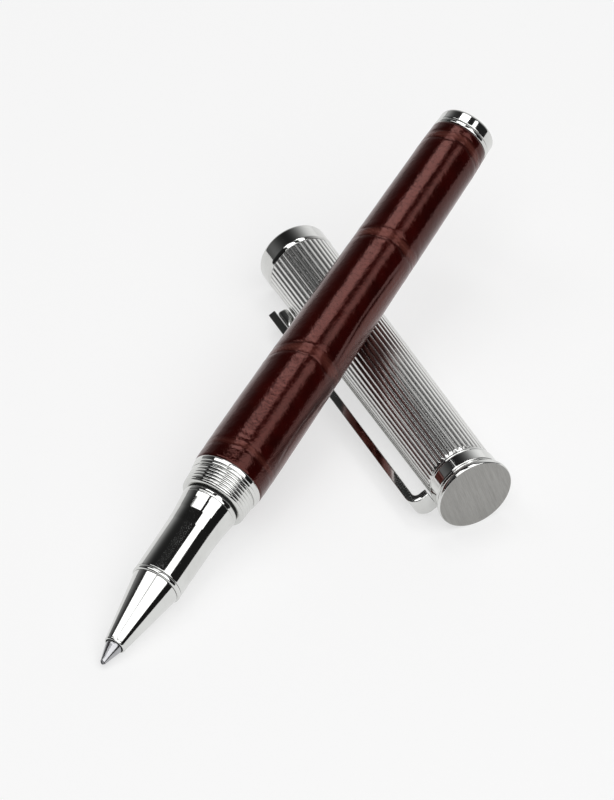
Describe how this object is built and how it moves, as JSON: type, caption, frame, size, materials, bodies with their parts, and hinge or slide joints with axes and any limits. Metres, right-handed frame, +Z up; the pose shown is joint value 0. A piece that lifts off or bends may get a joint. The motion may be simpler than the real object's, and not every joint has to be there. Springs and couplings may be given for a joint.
{
  "type": "rollerball_pen",
  "caption": "Rollerball pen with a burgundy crocodile-embossed leather barrel and polished chrome trim, leaning across its own fluted chrome cap with a flat bent clip.",
  "frame": {"origin": "Centre of the bounding box, at the height of the table that the pen and its cap lie on.", "axes": "+X runs along the cap from its lip to its top, +Z is up from the table, and +Y is the way the pen points more than any other: its rear end is towards +Y and -X, and its writing tip towards -Y and +X."},
  "size_m": [0.071, 0.105, 0.0325],
  "materials": {
    "chrome": "polished chrome plate",
    "brushed_face": "satin plate brushed in one direction",
    "steel": "plain drawn steel",
    "brass": "plain turned brass, hidden inside",
    "burgundy_leather": "glazed leather embossed with a crocodile pattern",
    "black_plastic": "moulded black plastic",
    "black_rubber": "soft black seal"
  },
  "bodies": {
    "cap": {"cap_lip_ring": "chrome", "cap_tube": "chrome", "cap_inner_sleeve": "black_plastic", "cap_top_plug": "brass", "clip_ring": "chrome", "cap_neck_band": "chrome", "cap_groove_ring": "chrome"},
    "finial": {"finial_disc": "chrome", "finial_face_plate": "brushed_face", "finial_screw": "steel"},
    "clip": {"clip": "chrome", "clip_pad": "chrome"},
    "barrel": {"thread_collar": "chrome", "barrel_front_ring": "chrome", "barrel_tube": "brass", "leather_sleeve": "burgundy_leather", "barrel_rear_ring": "chrome", "barrel_end_cap": "chrome", "barrel_end_plug": "brass", "refill_spring": "steel"},
    "seal": {"section_seal_ring": "black_rubber"},
    "section": {"nose_cone": "chrome", "section_step_ring": "chrome", "grip_section": "chrome", "section_thread_stub": "brass"},
    "refill": {"refill_tip": "steel", "refill_ink_holder": "black_plastic", "refill_tube": "steel", "refill_rear_plug": "black_plastic"},
    "ball": {"refill_ball": "steel"}
  },
  "joints": [
    {"name": "pen_lift", "type": "slide", "parent": "cap", "child": "barrel", "axis": [0, 0, 1], "range_m": [0, 0.04]},
    {"name": "finial_unscrew", "type": "hinge", "parent": "cap", "child": "finial", "pos_m": [0.03306, 0.01833, 0.00691], "axis": [1, 0, 0.0058], "range_deg": [0, 1440]},
    {"name": "clip_flex", "type": "hinge", "parent": "cap", "child": "clip", "pos_m": [0.02768, 0.01283, 0.00393], "axis": [-0.0051, -0.4721, 0.8815], "range_deg": [0, 4], "stiffness_Nm_per_rad": 2},
    {"name": "section_travel", "type": "slide", "parent": "barrel", "child": "seal", "axis": [0.5249, -0.8239, -0.2136], "range_m": [0, 0.0032]},
    {"name": "section_unscrew", "type": "hinge", "parent": "seal", "child": "section", "pos_m": [0.03527, -0.05248, 0.00097], "axis": [0.5249, -0.8239, -0.2136], "range_deg": [0, 1440]},
    {"name": "refill_press", "type": "slide", "parent": "section", "child": "refill", "axis": [-0.5249, 0.8239, 0.2136], "range_m": [0, 0.0006], "stiffness_N_per_m": 400, "springref_m": -0.001, "deforming": ["refill_spring"]},
    {"name": "ball_roll", "type": "hinge", "parent": "refill", "child": "ball", "pos_m": [0.03509, -0.05219, 0.00105], "axis": [0.8434, 0.5373, 0], "continuous": true}
  ],
  "couplings": [
    {"joint": "section_travel", "follows": "section_unscrew", "m_per_rad": 0.00012732}
  ]
}
